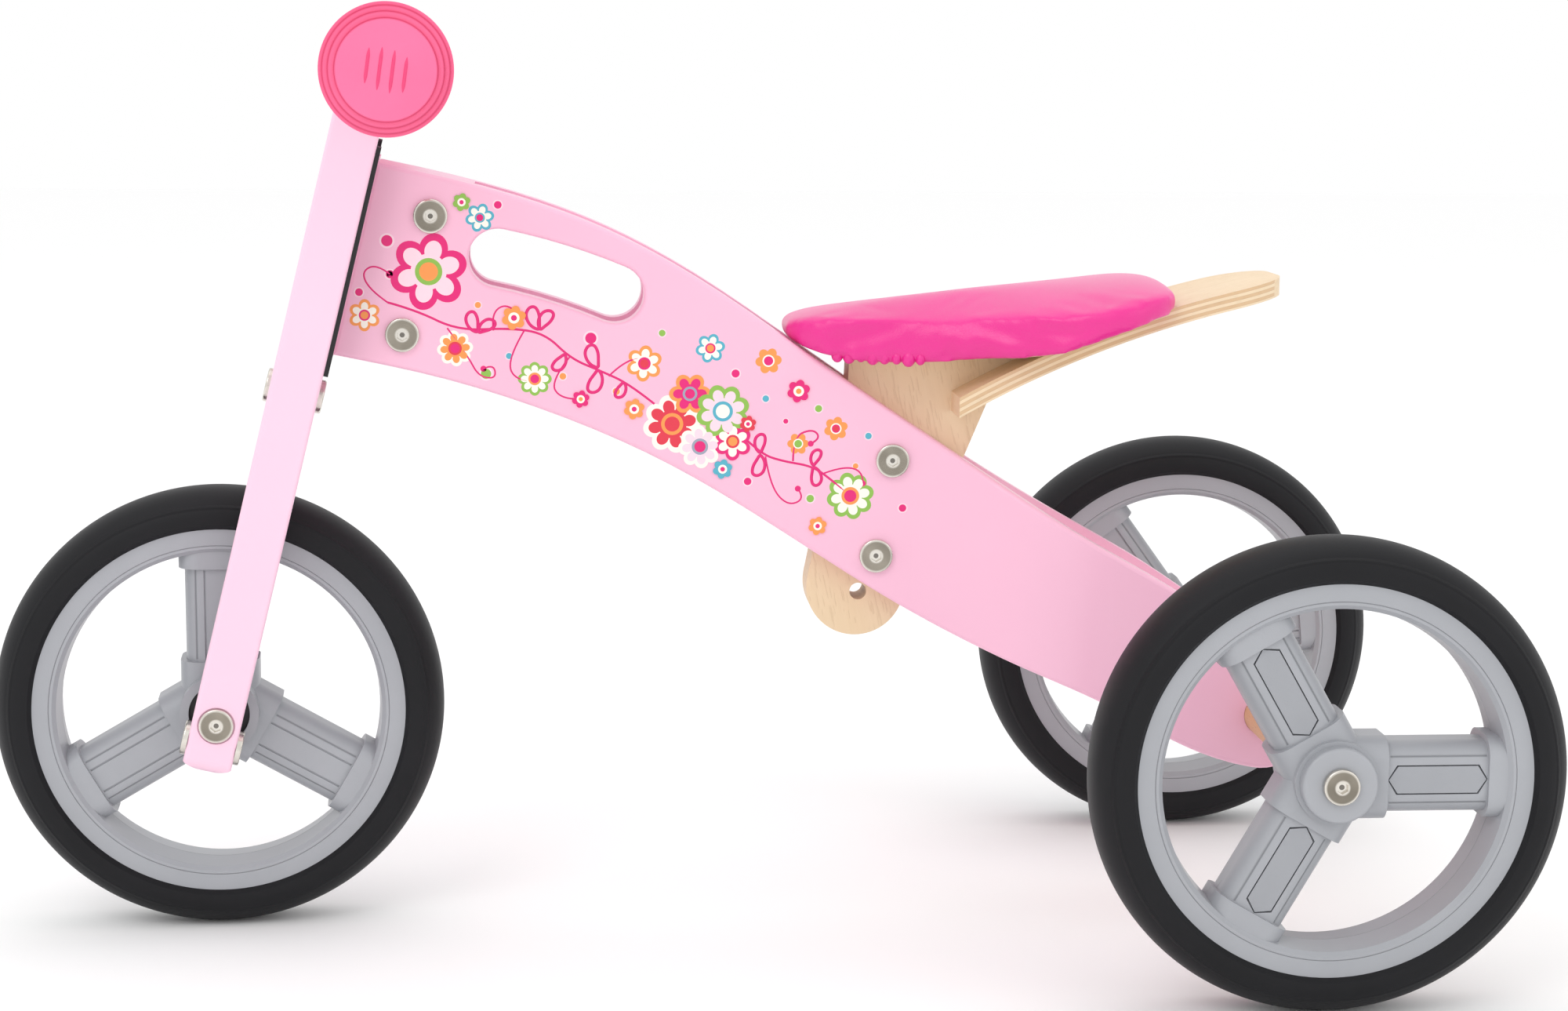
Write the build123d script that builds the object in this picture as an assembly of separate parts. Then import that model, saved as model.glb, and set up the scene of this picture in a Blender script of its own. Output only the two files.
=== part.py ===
from build123d import *
import os
from math import cos, radians, sin, sqrt

# Wooden three-wheeled balance bike for toddlers.
#
# Millimetres.  X runs rearwards, Y to the rider's right, Z up.  The origin is on the ground,
# half way between the axles.  Everything that steers is drawn upright about the steering
# axis, with the front axle at its origin, and then leant back and turned by steered().

# ---- driving dimensions ---------------------------------------------------------------
wheelbase = 416.0
track = 280.0                 # between the middles of the two rear wheels
wheel_radius = 88.9           # a seven inch wheel
lean = 13.8                   # steering axis, degrees back from upright
rest_steer = 2.5              # the bars stand turned this many degrees to the left
front_spoke_angle = 90.0      # where each wheel stands: one spoke, degrees above +X
left_spoke_angle = 0.0
right_spoke_angle = 6.0

# wheels
tyre_seat_radius = 70.0       # where the tyre sits in the rim
tyre_profile = ((16.5, 14.0), (14.9, 6.2), (8.2, 1.3), (0.0, 0.0))   # half width, depth below the tread
rim_lip_radius = 73.3
rim_width = 29.0
rim_inner_radius = 64.0       # the clear window inside the rim
rim_land = 1.6                # the step at the mouth of the rim
hub_length = 40.0
hub_radius = 15.5
hub_boss_radius = 14.0        # the closed outer end of the hub
hub_boss_height = 5.0
hub_wall = 3.0                # left at the closed end by the bore
hub_hole_radius = 6.2
spoke_count = 3
spoke_width = 26.5
spoke_depth = 23.0
spoke_round = 8.0
socket_width = 31.0
socket_depth = 26.0
socket_reach = 19.5           # the hub's sockets end here
rim_socket_start = 57.0       # the rim's sockets begin here
panel_width = 10.0
panel_start = 20.1
panel_end = 56.4
panel_thickness = 2.0
panel_gap = 0.5
groove_width = 0.8            # the two lines on the inner face of each spoke
groove_depth = 0.6
bush_radius = 12.0
bush_length = 9.0
bush_recess = 2.5             # how far the inner bush sits inside the hub's mouth

# axles
sleeve_radius = 5.0
sleeve_fit = 0.08             # running clearance of a bush on its sleeve
hub_float = 0.4               # side play of a wheel
rear_bolt_in_dowel = 30.0
front_bolt_length = 27.0
hole_fit = 0.2                # a bolt in its hole
spacer_radius = 8.5
dowel_radius = 8.0
dowel_end_wall = 1.0

# fork
fork_thickness = 19.0
fork_width = 80.0
fork_gap = 52.0               # clear width between the legs and between the arms
leg_below_axle = 19.5
leg_toe_round = 5.0
slot_above_tyre = 9.0
head_low = 149.7              # the frame's head along the steering axis, above the axle
head_high = 226.6
head_gap = 2.2                # from the fork's back to the frame's front edges
window_margin = 4.7
bar_height = 264.8            # handlebar above the axle, along the steering axis
bar_back = 6.3                # and behind that axis
crown_above_bar = 14.5
crown_block_thickness = 11.0
crown_block_height = 30.0
crown_block_round = 4.0
fork_edge_round = 1.5
strip_thickness = 1.8
strip_width = 12.0
strip_inset = 0.5
strip_overhang = 2.0

# steering pin
pin_radius = 4.0
pin_fit = 0.08
pin_in_bridge = 9.0
pin_below_bar = 1.0
washer_radius = 7.4
washer_thickness = 2.4
washer_gap = 0.3

# handlebar and grips
bar_radius = 8.0
bar_half_length = 146.0
grip_inner_end = 52.0
grip_outer_end = 152.0
grip_radius = 11.5
grip_collar_radius = 16.0
grip_collar_length = 4.0
bumper_radii = (23.4, 21.9, 19.9, 17.6)
bumper_rim = 5.0              # thickness of its widest ring
bumper_step = 3.0
bumper_dome = 2.0

# frame
plate_thickness = 11.0
post_thickness = 18.0         # seat post, and so the gap between the plates
flare = 21.5                  # each plate bends out by this much
flare_start = 140.0           # ahead of the rear axle
flare_end = 62.0
tail_end_radius = 22.0
tail_end_angles = (59.0, -20.0, -100.0)
plate_edge_round = 1.8
head_bolt_back = 36.5         # behind the steering axis
head_bolts_up = (163.9, 211.5)
block_back = 50.0
seat_bolt_ahead = 148.3       # upper seat bolt, ahead of the rear axle
seat_bolt_height = 189.2
seat_bolt_pitch = (-6.2, -38.3)
spare_hole = (-12.1, -54.7)   # from the upper seat bolt
spare_hole_radius = 3.4
hand_slot_height = 23.0
hand_slot_ends = ((46.5, -37.0), (92.0, -51.0))   # from the head's top front corner
hand_slot_bow = 1.2

# bolts
bolt_radius = 3.0
head_radius = 6.75
head_height = 2.2
head_round = 0.7
socket_flats = 4.0
socket_hole_depth = 1.4
barrel_radius = 4.0           # a cap nut's barrel
barrel_length = 8.0
cross_bolt_radius = 2.2
cross_barrel_radius = 3.2
leg_cross_below = 8.5         # leg cross bolts, below the axle
bridge_cross_below = 15.0     # bridge cross bolt, below the window
counterbore_radius = 7.3
counterbore_depth = 1.0

# saddle and tail
saddle_back = -38.0           # from the rear axle
saddle_reach = 80.0           # wider than the saddle
base_thickness = 6.0
base_inset = 8.0
saddle_on_tail = -76.0        # from here back it lies on the tail
saddle_underside = ((-191.5, 149.5), (-172.0, 142.0), (-140.0, 140.0), (-105.0, 143.0))
saddle_top = (
    (-191.5, 155.2), (-185.0, 157.4), (-160.0, 158.8), (-117.0, 161.4), (-90.0, 165.0), (-66.0, 169.4),
    (-46.0, 172.2), (-38.0, 171.0),
)
saddle_half_widths = (
    (-191.5, 12.0), (-184.0, 22.0), (-150.0, 29.0), (-100.0, 46.0), (-64.0, 57.0), (-44.0, 47.0), (-38.0, 30.0),
)
tail_thickness = 7.0
tail_width = 66.0
tail_line = ((-123.5, 122.8), (-62.0, 150.9), (8.0, 169.9))   # middle of the strip, from the rear axle
tail_slot_back = -107.0
tail_corner_round = 24.0
screw_radius = 2.0
screw_head_radius = 4.0
screw_head_height = 2.4
post_screws = (-156.0, -130.0)
post_screw_length = 24.0
tail_screws_back = -58.0
tail_screws_half_pitch = 20.0
tail_screw_length = 11.0

rear_x = wheelbase / 2
front_x = -wheelbase / 2
plate_inside = post_thickness / 2
plate_outside = plate_inside + plate_thickness
window_low = head_low - window_margin
window_high = head_high + window_margin
fork_top = bar_height + crown_above_bar
slot_top = wheel_radius + slot_above_tyre
hub_end = hub_length / 2


def save(shape, name):
    """Write one piece, or a group of like pieces, as a STEP file."""
    shape.label = name
    export_step(shape, f"parts/{name}.step")


def group(pieces):
    """Like pieces that share a node."""
    return Compound(children=list(pieces))


def cylinder_y(radius, y0, y1, x=0.0, z=0.0):
    """A round bar along Y from y0 to y1."""
    plane = Plane(origin=(x, y0, z), z_dir=(0, 1, 0))
    return extrude(plane * Circle(radius), amount=y1 - y0)


def cylinder_x(radius, x0, x1, y=0.0, z=0.0):
    """A round bar along X from x0 to x1."""
    plane = Plane(origin=(x0, y, z), z_dir=(1, 0, 0))
    return extrude(plane * Circle(radius), amount=x1 - x0)


def cylinder_z(radius, z0, z1, x=0.0, y=0.0):
    """A round bar along Z from z0 to z1."""
    return Pos(x, y, z0) * extrude(Circle(radius), amount=z1 - z0)


def tube_y(outer, inner, y0, y1, x=0.0, z=0.0):
    """A tube along Y."""
    return cylinder_y(outer, y0, y1, x, z) - cylinder_y(inner, y0, y1, x, z)


def block(x0, x1, y0, y1, z0, z1):
    """A box between two corners."""
    middle = ((x0 + x1) / 2, (y0 + y1) / 2, (z0 + z1) / 2)
    return Pos(*middle) * Box(x1 - x0, y1 - y0, z1 - z0)


def steered(shape):
    """Take a piece from the steering axis's own frame to its place on the bike."""
    return Pos(front_x, 0, wheel_radius) * Rot(0, lean, 0) * Rot(0, 0, rest_steer) * shape


def on_axis(back, up):
    """World X and Z of a point, given behind and along the straight steering axis."""
    a = radians(lean)
    return (front_x + up * sin(a) + back * cos(a), wheel_radius + up * cos(a) - back * sin(a))


def side_face(outline):
    """A face in the XZ plane from an outline drawn with X and Z."""
    return make_face(Plane.XZ * outline)


def across(face, y0, y1):
    """Extrude a face that lies in the XZ plane, from y0 to y1."""
    return Pos(0, y0, 0) * extrude(face, amount=y1 - y0, dir=(0, 1, 0))


# ---- bolts ----------------------------------------------------------------------------
def bolt_y(y_face, y_end, x=0.0, z=0.0, shank=bolt_radius):
    """A bolt along Y.  Its head stands on y_face, and the shank ends at y_end."""
    out = 1 if y_face > y_end else -1
    head = cylinder_y(head_radius, 0, head_height)
    head = fillet(head.edges().filter_by(GeomType.CIRCLE).sort_by(Axis.Y)[-1], head_round)
    hexagon = Plane(origin=(0, head_height, 0), z_dir=(0, -1, 0)) * RegularPolygon(socket_flats / 2, 6, False)
    head -= extrude(hexagon, amount=socket_hole_depth)
    if out < 0:
        head = head.rotate(Axis.Z, 180)
    return Pos(x, y_face, z) * head + cylinder_y(shank, y_face, y_end, x, z)


def nut_y(y_face, y_end, x=0.0, z=0.0, shank=bolt_radius, barrel=barrel_radius):
    """A cap nut along Y: the same head on a barrel that takes the end of the bolt."""
    roof = 0.5 if y_face > y_end else -0.5
    nut = bolt_y(y_face, y_end, x, z, barrel)
    return nut - cylinder_y(shank + hole_fit, y_face - roof, y_end, x, z)


# ---- wheels ---------------------------------------------------------------------------
def wheel_tyre():
    """Solid foam tyre: a flat-bottomed ring with round shoulders."""
    seat = rim_width / 2 - rim_land
    side = [(wheel_radius - d, y) for y, d in tyre_profile]
    crown = side + [(x, -y) for x, y in reversed(side[:-1])]
    lip = [(rim_lip_radius, rim_width / 2), (rim_lip_radius - 1, seat), (tyre_seat_radius, seat)]
    foot = [crown[0]] + lip + [(x, -y) for x, y in reversed(lip)] + [crown[-1]]
    return revolve(make_face(Spline(*crown) + Polyline(*foot)), Axis.Y)


def rim_ring():
    """The rim: a channel for the tyre outside, a shallow taper inside."""
    half = rim_width / 2
    seat = half - rim_land
    upper = [(tyre_seat_radius, seat), (rim_lip_radius - 1, seat), (rim_lip_radius, half)]
    upper += [(rim_inner_radius + rim_land, half), (rim_inner_radius, seat), (rim_inner_radius - 1, 0)]
    lower = [(x, -y) for x, y in reversed(upper[:-1])]
    return revolve(make_face(Polyline(*upper, *lower, close=True)), Axis.Y)


def spoke_bar(width, depth, r0, r1):
    """A round-edged bar along X from r0 to r1."""
    plane = Plane(origin=(r0, 0, 0), x_dir=(0, 1, 0), z_dir=(1, 0, 0))
    return extrude(plane * RectangleRounded(depth, width, spoke_round), amount=r1 - r0)


def panel(grow):
    """The six-sided insert let into a spoke's outer face, or with grow, its pocket."""
    half = panel_width / 2 + grow
    point = panel_width / 3
    start = panel_start - grow
    end = panel_end + grow
    outline = Polyline((start, 0), (start + point, half), (end - point, half), (end, 0),
                       (end - point, -half), (start + point, -half), close=True)
    face = -spoke_depth / 2
    return across(side_face(outline), face, face + panel_thickness)


def around(shape):
    """A shape repeated once for each spoke."""
    return [shape.rotate(Axis.Y, -360 / spoke_count * i) for i in range(spoke_count)]


def wheel_body():
    """Rim, spokes and hub in one moulding.  The hub's closed end and the pockets face -Y."""
    body = rim_ring()
    reach = rim_inner_radius + 2
    bars = [(spoke_width, spoke_depth, 0, reach)]
    bars += [(socket_width, socket_depth, 0, socket_reach)]
    bars += [(socket_width, socket_depth, rim_socket_start, reach)]
    for bar in bars:
        for copy in around(spoke_bar(*bar)):
            body += copy
    body += cylinder_y(hub_radius, hub_boss_height - hub_end, hub_end)
    boss = cylinder_y(hub_boss_radius, -hub_end, 0)
    body += fillet(boss.edges().filter_by(GeomType.CIRCLE).sort_by(Axis.Y)[0], 1.2)
    for pocket in around(panel(panel_gap)):
        body -= pocket
    inner_face = spoke_depth / 2
    for z in (-panel_width / 2, panel_width / 2):
        groove = block(panel_start, panel_end, inner_face - groove_depth, inner_face,
                       z - groove_width / 2, z + groove_width / 2)
        for copy in around(groove):
            body -= copy
    body -= cylinder_y(hub_hole_radius, -hub_end, 0)
    return body - cylinder_y(bush_radius, hub_wall - hub_end, hub_end)


def wheel_bushes():
    """Two bearing bushes pressed into the hub, one at each end of the bore."""
    outer = hub_wall - hub_end
    inner = hub_end - bush_recess - bush_length
    return [tube_y(bush_radius, sleeve_radius + sleeve_fit, y, y + bush_length) for y in (outer, inner)]


def save_wheel(name, outward, angle, place):
    """Save one wheel at a place, its closed side outward and one spoke at an angle above +X."""
    def put(shape):
        return place(Rot(0, -angle, 0) * Rot(0 if outward < 0 else 180, 0, 0) * shape)
    save(put(wheel_tyre()), f"{name}_tyre")
    save(put(wheel_body()), f"{name}_rim")
    save(group(put(p) for p in around(panel(0))), f"{name}_spoke_panels")
    save(group(put(b) for b in wheel_bushes()), f"{name}_bushes")


# ---- rear axle ------------------------------------------------------------------------
dowel_end = track / 2 - hub_end + bush_recess - hub_float
wheel_face = track / 2 + hub_end + hub_float


def rear_dowel():
    """The wooden axle, with a blind hole in each end for a wheel bolt."""
    dowel = cylinder_y(dowel_radius, -dowel_end, dowel_end, rear_x, wheel_radius)
    for side in (-1, 1):
        deep = side * (dowel_end - rear_bolt_in_dowel - dowel_end_wall)
        dowel -= cylinder_y(bolt_radius + hole_fit, side * dowel_end, deep, rear_x, wheel_radius)
    return dowel


def rear_sleeves():
    """The steel tubes on which the rear wheels turn."""
    hole = bolt_radius + hole_fit
    ends = [(s * dowel_end, s * wheel_face) for s in (-1, 1)]
    return [tube_y(sleeve_radius, hole, y0, y1, rear_x, wheel_radius) for y0, y1 in ends]


def rear_bolts():
    """The bolts that hold the rear wheels to the wooden axle."""
    end = dowel_end - rear_bolt_in_dowel
    return [bolt_y(s * wheel_face, s * end, rear_x, wheel_radius) for s in (-1, 1)]


# ---- frame ----------------------------------------------------------------------------
def moved(point, steps):
    """Points given as steps from a point."""
    return [(point[0] + dx, point[1] + dz) for dx, dz in steps]


seat_bolt = (rear_x - seat_bolt_ahead, seat_bolt_height)
rear_axle = (rear_x, wheel_radius)
head_back = fork_thickness / 2 + head_gap
head_top = on_axis(head_back, head_high)
head_foot = on_axis(head_back, head_low)


def frame_outline():
    """Side view of the frame: a swan-necked beam from the head down to the rear axle."""
    ends = []
    for angle in tail_end_angles:
        a = radians(angle)
        ends.append((rear_x + tail_end_radius * cos(a), wheel_radius + tail_end_radius * sin(a)))
    top = [head_top]
    top += moved(head_top, ((34.7, -7.7), (84.7, -24.0)))
    top += moved(seat_bolt, ((-67.7, 65.8), (-32.7, 41.7), (29.0, 0.2)))
    top += moved(rear_axle, ((-70.7, 69.9), (-38.5, 51.4)))
    top.append(ends[0])
    foot = [ends[2]]
    foot += moved(rear_axle, ((-66.8, 5.9),))
    foot += moved(seat_bolt, ((36.5, -75.7), (-43.0, -29.1), (-89.9, -0.9)))
    foot += moved(head_foot, ((84.0, -22.6), (41.2, -9.0)))
    foot.append(head_foot)
    first, last = (radians(a) for a in (tail_end_angles[0], tail_end_angles[2]))
    upper = Spline(*top, tangents=[(1, -0.2), (sin(first), -cos(first))])
    lower = Spline(*foot, tangents=[(sin(last), -cos(last)), (-1, 0.2)])
    return side_face(upper + ThreePointArc(*ends) + lower + Line(head_foot, head_top))


def hand_slot():
    """The carrying slot through the plates, a little bowed like the top edge."""
    left, right = moved(head_top, hand_slot_ends)
    middle = ((left[0] + right[0]) / 2, (left[1] + right[1]) / 2 + hand_slot_bow)
    return Plane.XZ * SlotArc(ThreePointArc(left, middle, right), hand_slot_height)


def bent_sheet(side):
    """Plan view of one plate: straight along the head, then bent out, then straight again."""
    y = plate_inside + plate_thickness / 2
    x0 = rear_x - flare_start
    x1 = rear_x - flare_end
    near = Line((head_foot[0] - 5, y), (x0, y))
    out = TangentArc((x0, y), ((x0 + x1) / 2, y + flare / 2), tangent=(1, 0))
    back = TangentArc(out @ 1, (x1, y + flare), tangent=out % 1)
    far = Line((x1, y + flare), (rear_x + tail_end_radius + 5, y + flare))
    sheet = trace(near + out + back + far, line_width=plate_thickness)
    sheet = extrude(sheet, amount=head_top[1] + 5)
    return sheet if side > 0 else mirror(sheet, Plane.XZ)


def frame_bolt_places():
    """The four bolts that clamp the plates: two at the head, two at the seat post."""
    places = [on_axis(head_bolt_back, up) for up in head_bolts_up]
    return places + [seat_bolt] + moved(seat_bolt, (seat_bolt_pitch,))


def bolted(shape):
    """Drill the frame's bolt holes, wider in the right-hand plate for the nuts' barrels."""
    reach = plate_outside + flare + 1
    for x, z in frame_bolt_places():
        shape -= cylinder_y(bolt_radius + hole_fit, -reach, reach, x, z)
        shape -= cylinder_y(barrel_radius + hole_fit, plate_inside, reach, x, z)
    return shape


def softened(plate, side, radius):
    """Round the outline and the slot on the faces of a plate that look towards one side."""
    faces = plate.faces().filter_by(lambda f: side * f.normal_at(f.center()).Y > 0.5)
    edges = [e for e in faces.edges() if abs((e % 0.5).Z) < 0.999]
    return fillet(edges, radius)


def side_plate(side):
    """One bent plywood side of the frame, its edges rounded on the outside."""
    reach = plate_outside + flare + 1
    plate = across(frame_outline() - hand_slot(), -reach, reach) & bent_sheet(side)
    plate = plate.solids().sort_by(SortBy.VOLUME)[-1]
    plate = bolted(softened(plate, side, plate_edge_round))
    return plate - cylinder_y(dowel_radius + hole_fit / 2, -reach, reach, rear_x, wheel_radius)


def straight(shape):
    """As steered(), but with the steering straight ahead, for what stays on the frame."""
    return Pos(front_x, 0, wheel_radius) * Rot(0, lean, 0) * shape


nose_low = window_low + washer_gap + washer_thickness
nose_high = window_high - washer_gap - washer_thickness


def head_block():
    """The block between the plates at the head, with a round nose on the steering axis."""
    slab = across(frame_outline(), -plate_inside, plate_inside)
    slab &= straight(block(head_back, block_back, -plate_inside, plate_inside, nose_low - 20, nose_high + 20))
    nose = cylinder_z(plate_inside, nose_low, nose_high)
    nose += block(0, head_back, -plate_inside, plate_inside, nose_low, nose_high)
    whole = slab + straight(nose)
    return bolted(whole - straight(cylinder_z(pin_radius + pin_fit, nose_low - 1, nose_high + 1)))


def frame_bolts():
    """Four bolts from the left."""
    return [bolt_y(-plate_outside, plate_outside - 2, x, z) for x, z in frame_bolt_places()]


def frame_nuts():
    """Their cap nuts in the right-hand plate."""
    return [nut_y(plate_outside, plate_outside - barrel_length, x, z) for x, z in frame_bolt_places()]


# ---- seat post, tail and saddle -------------------------------------------------------
def tail_curve(lift, x_from, x_to):
    """Part of the tail's curve in side view, between two X, lifted off its middle line."""
    arc = ThreePointArc(*moved(rear_axle, tail_line))
    centre = arc.arc_center
    radius = arc.radius + lift
    points = []
    for x in (x_from, (x_from + x_to) / 2, x_to):
        points.append((x, centre.Y + sqrt(radius ** 2 - (x - centre.X) ** 2)))
    return ThreePointArc(*points)


def tail_strip():
    """A bent plywood strip that springs from the seat post and carries the saddle's back."""
    front = rear_x + tail_line[0][0]
    back = rear_x + tail_line[-1][0]
    top = tail_curve(tail_thickness / 2, front, back)
    foot = tail_curve(-tail_thickness / 2, front, back)
    outline = top + foot + Line(top @ 0, foot @ 0) + Line(top @ 1, foot @ 1)
    strip = across(side_face(outline), -tail_width / 2, tail_width / 2)
    strip -= block(front - 1, rear_x + tail_slot_back, -plate_inside, plate_inside, 0, bar_height * 2)
    corners = strip.edges().filter_by(Axis.Z).sort_by(Axis.X)[-2:]
    return fillet(corners, tail_corner_round)


def saddle_under():
    """The saddle's underside in side view: free at the nose, then down on the tail."""
    rest = tail_curve(tail_thickness / 2, rear_x + saddle_on_tail, rear_x + saddle_back)
    free = moved(rear_axle, saddle_underside) + [rest @ 0]
    return Spline(*free, tangents=[(1, -0.8), rest % 0]) + rest


def saddle_envelope():
    """Base and cushion together: a narrow nose, a broad back."""
    under = saddle_under()
    over = moved(rear_axle, saddle_top)
    side = under + Spline(*over) + Line(under @ 0, over[0]) + Line(under @ 1, over[-1])
    return across(side_face(side), -saddle_reach, saddle_reach) & saddle_plan(0)


def saddle_plan(inset):
    """Plan view of the saddle, or of the board inside it, as a tall prism."""
    front = saddle_half_widths[0][0]
    length = saddle_back - front
    half = []
    for x, y in saddle_half_widths:
        inwards = inset * (1 - 2 * (x - front) / length)
        half.append((rear_x + x + inwards, y - inset))
    other = [(x, -y) for x, y in reversed(half)]
    edge = Spline(*half) + Line(half[-1], other[0]) + Spline(*other) + Line(other[-1], half[0])
    return extrude(make_face(edge), amount=bar_height * 2)


def saddle_board():
    """What lies inside the board's outline and below its top: cuts the cushion from the base."""
    under = saddle_under()
    line = [under @ t for t in (0.0, 0.15, 0.3, 0.45, 0.6, 0.8, 1.0)]
    over = [(point.X, point.Y + base_thickness) for point in line]
    below = Polyline(over[-1], (over[-1][0], 0), (over[0][0], 0), over[0])
    return across(side_face(Spline(*over) + below), -saddle_reach, saddle_reach) & saddle_plan(base_inset)


def seat_post(tail, saddle):
    """The thick plywood post: a round foot, and an arm behind that meets the tail."""
    x, z = seat_bolt
    foot = (x - 13.2, z - 52.7)
    radius = 19.8
    a = radians(lean)
    left = (foot[0] - radius * cos(a), foot[1] + radius * sin(a))
    right = (foot[0] + radius * cos(a * 1.6), foot[1] - radius * sin(a * 1.6))
    outline = ThreePointArc(left, (foot[0], foot[1] - radius), right)
    points = [right, (x + 40.8, z + 25.8), (x + 66.0, z + 42.0), (x + 66.0, z + 62.0), (x - 15.5, z + 62.0)]
    points += [(x - 17.0, z + 30.0), left]
    outline += Polyline(*points)
    post = across(side_face(outline), -plate_inside, plate_inside)
    post = post - tail - saddle
    post = post.solids().sort_by(SortBy.VOLUME)[-1]
    hx, hz = moved(seat_bolt, (spare_hole,))[0]
    return bolted(post) - cylinder_y(spare_hole_radius, -plate_inside - 1, plate_inside + 1, hx, hz)


def screw_z(length):
    """A countersunk screw, head up, with its top at the origin."""
    head = Pos(0, 0, -screw_head_height) * Cone(screw_radius, screw_head_radius, screw_head_height,
                                                align=(Align.CENTER, Align.CENTER, Align.MIN))
    return head + cylinder_z(screw_radius, -length, -screw_head_height)


def height_on(curve, x):
    """Height of a side view's curve at X."""
    low = 0.0
    high = 1.0
    for _ in range(40):
        middle = (low + high) / 2
        if (curve @ middle).X < x:
            low = middle
        else:
            high = middle
    return (curve @ low).Y


def post_screw_set():
    """Two screws down through the base into the post, under the foam."""
    under = saddle_under()
    sunk = base_thickness - 0.4
    places = [rear_x + x for x in post_screws]
    return [Pos(x, 0, height_on(under, x) + sunk) * screw_z(post_screw_length) for x in places]


def tail_screw_set():
    """Two screws up through the tail into the base."""
    half = tail_thickness / 2
    line = tail_curve(-half, rear_x + tail_screws_back, rear_x + saddle_back)
    start = line @ 0
    slope = line % 0
    plane = Plane(origin=(start.X, 0, start.Y), x_dir=(0, 1, 0), z_dir=(slope.Y, 0, -slope.X))
    screw = screw_z(tail_screw_length)
    return [plane.location * Pos(side * tail_screws_half_pitch, 0, 0) * screw for side in (-1, 1)]


# ---- fork, in the steering axis's frame -----------------------------------------------
pin_top = bar_height - bar_radius - pin_below_bar


def bar_hole():
    """The handlebar's hole through the crown."""
    return cylinder_y(bar_radius + hole_fit / 2, -fork_width, fork_width, bar_back, bar_height)


def crown_block():
    """A block glued behind the crown, which closes round the back of the handlebar."""
    front = fork_thickness / 2
    back = front + crown_block_thickness
    piece = block(front, back, -fork_width / 2, fork_width / 2, fork_top - crown_block_height, fork_top)
    piece = fillet(piece.edges().filter_by(Axis.Y).group_by(Axis.X)[-1], crown_block_round)
    return piece - bar_hole()


def fork_board():
    """One thick board cut to an H: arms round the head's window, and legs round the wheel."""
    half = fork_thickness / 2
    middle = (fork_top - leg_below_axle) / 2
    height = fork_top + leg_below_axle
    front = Pos(0, middle) * Rectangle(fork_width, height)
    slot_height = slot_top + leg_below_axle + 10
    front -= Pos(0, slot_top - slot_height / 2) * Rectangle(fork_gap, slot_height)
    front = fillet(front.vertices().sort_by(Axis.Y)[:4].sort_by(Axis.X)[0::3], leg_toe_round)
    window_height = window_high - window_low
    front -= Pos(0, (window_low + window_high) / 2) * RectangleRounded(fork_gap, window_height, 3)
    plane = Plane(origin=(-half, 0, 0), x_dir=(0, 1, 0), z_dir=(1, 0, 0))
    board = extrude(plane * front, amount=fork_thickness)
    toe = 2.8
    low = -leg_below_axle
    side = ThreePointArc((-half, low + toe), (0, low), (half, low + toe))
    side += Polyline((half, low + toe), (half, fork_top), (-half, fork_top), (-half, low + toe))
    board &= across(side_face(side), -fork_width, fork_width)
    long_edges = board.edges().filter_by(Axis.Z).filter_by(lambda e: abs(e.center().Y) > fork_width / 2 - 0.1)
    board = fillet(long_edges, fork_edge_round)
    board -= bar_hole() + cylinder_z(pin_radius, window_low - pin_in_bridge, pin_top)
    board -= cylinder_y(bolt_radius + hole_fit, -fork_width, fork_width)
    for s in (-1, 1):
        face = s * fork_width / 2
        board -= cylinder_y(counterbore_radius, face - s * counterbore_depth, face + s)
    for y, z in cross_bolt_places():
        board -= cylinder_x(cross_bolt_radius + hole_fit, -half - 1, half + 1, y, z)
        board -= cylinder_x(cross_barrel_radius + hole_fit, half - barrel_length, half + 1, y, z)
    return board


def cross_bolt_places():
    """Where the front-to-back bolts go: one in each leg's foot and one in the bridge."""
    leg = (fork_width + fork_gap) / 4
    return [(-leg, -leg_cross_below), (leg, -leg_cross_below), (0, window_low - bridge_cross_below)]


def fore_and_aft(piece, y, z):
    """A piece drawn along Y, turned so that its -Y end faces forwards, at a place in the fork."""
    return Pos(0, y, z) * Rot(0, 0, -90) * piece


def cross_bolts():
    """The bolts, from the front."""
    half = fork_thickness / 2
    bolt = bolt_y(-half, half - 1.5, shank=cross_bolt_radius)
    return [fore_and_aft(bolt, y, z) for y, z in cross_bolt_places()]


def cross_nuts():
    """Their cap nuts, from the back."""
    half = fork_thickness / 2
    nut = nut_y(half, half - barrel_length, shank=cross_bolt_radius, barrel=cross_barrel_radius)
    return [fore_and_aft(nut, y, z) for y, z in cross_bolt_places()]


def front_axle_sleeve():
    """The steel tube on which the front wheel turns, clamped between the legs."""
    return tube_y(sleeve_radius, bolt_radius + hole_fit, -fork_gap / 2, fork_gap / 2)


def front_axle_bolts():
    """One bolt from each side into the sleeve, its head in a shallow recess."""
    head = fork_width / 2 - counterbore_depth
    return [bolt_y(s * head, s * (head - front_bolt_length)) for s in (-1, 1)]


def front_spacers():
    """Rings between the legs and the front wheel, which is open on the left and closed on the right."""
    ends = [(-fork_gap / 2, bush_recess - hub_end - hub_float), (hub_end + hub_float, fork_gap / 2)]
    return [tube_y(spacer_radius, sleeve_radius + hole_fit, y0, y1) for y0, y1 in ends]


def steering_pin():
    """The steel pin through bridge, head block and crown."""
    return cylinder_z(pin_radius, window_low - pin_in_bridge, pin_top)


def steering_washers():
    """Nylon washers above and below the head block."""
    pieces = []
    for low in (window_low, window_high - washer_thickness):
        ring = cylinder_z(washer_radius, low, low + washer_thickness)
        pieces.append(ring - cylinder_z(pin_radius + hole_fit / 2, low, low + washer_thickness))
    return pieces


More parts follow.
